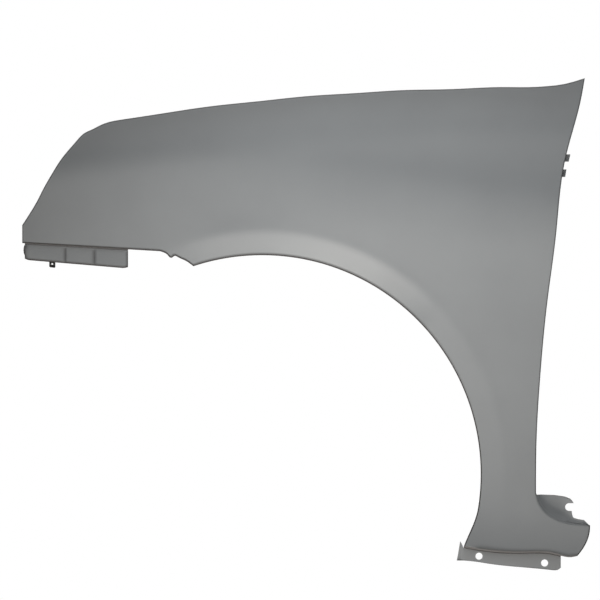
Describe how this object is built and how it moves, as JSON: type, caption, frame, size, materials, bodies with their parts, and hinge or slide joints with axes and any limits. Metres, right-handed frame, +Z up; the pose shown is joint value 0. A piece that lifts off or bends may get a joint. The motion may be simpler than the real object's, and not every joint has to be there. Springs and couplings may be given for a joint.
{
  "type": "car front fender",
  "caption": "Left front fender of a small car in pressed sheet steel with primer: curved outer skin, wheel arch with a soft lip band, and bolt-on flanges.",
  "frame": {"origin": "underside of the bonnet-side flange at its middle bolt pad, on the metal between the pad's two holes, where the fender hangs on the inner wing rail", "axes": "+X along the car to the rear, +Y inboard, +Z up; the outer skin faces -Y"},
  "size_m": [0.9093, 0.1282, 0.7879],
  "materials": {
    "primer": "matte grey primer on both sides of the sheet"
  },
  "bodies": {
    "root": {"fender_panel": "primer"}
  },
  "joints": []
}
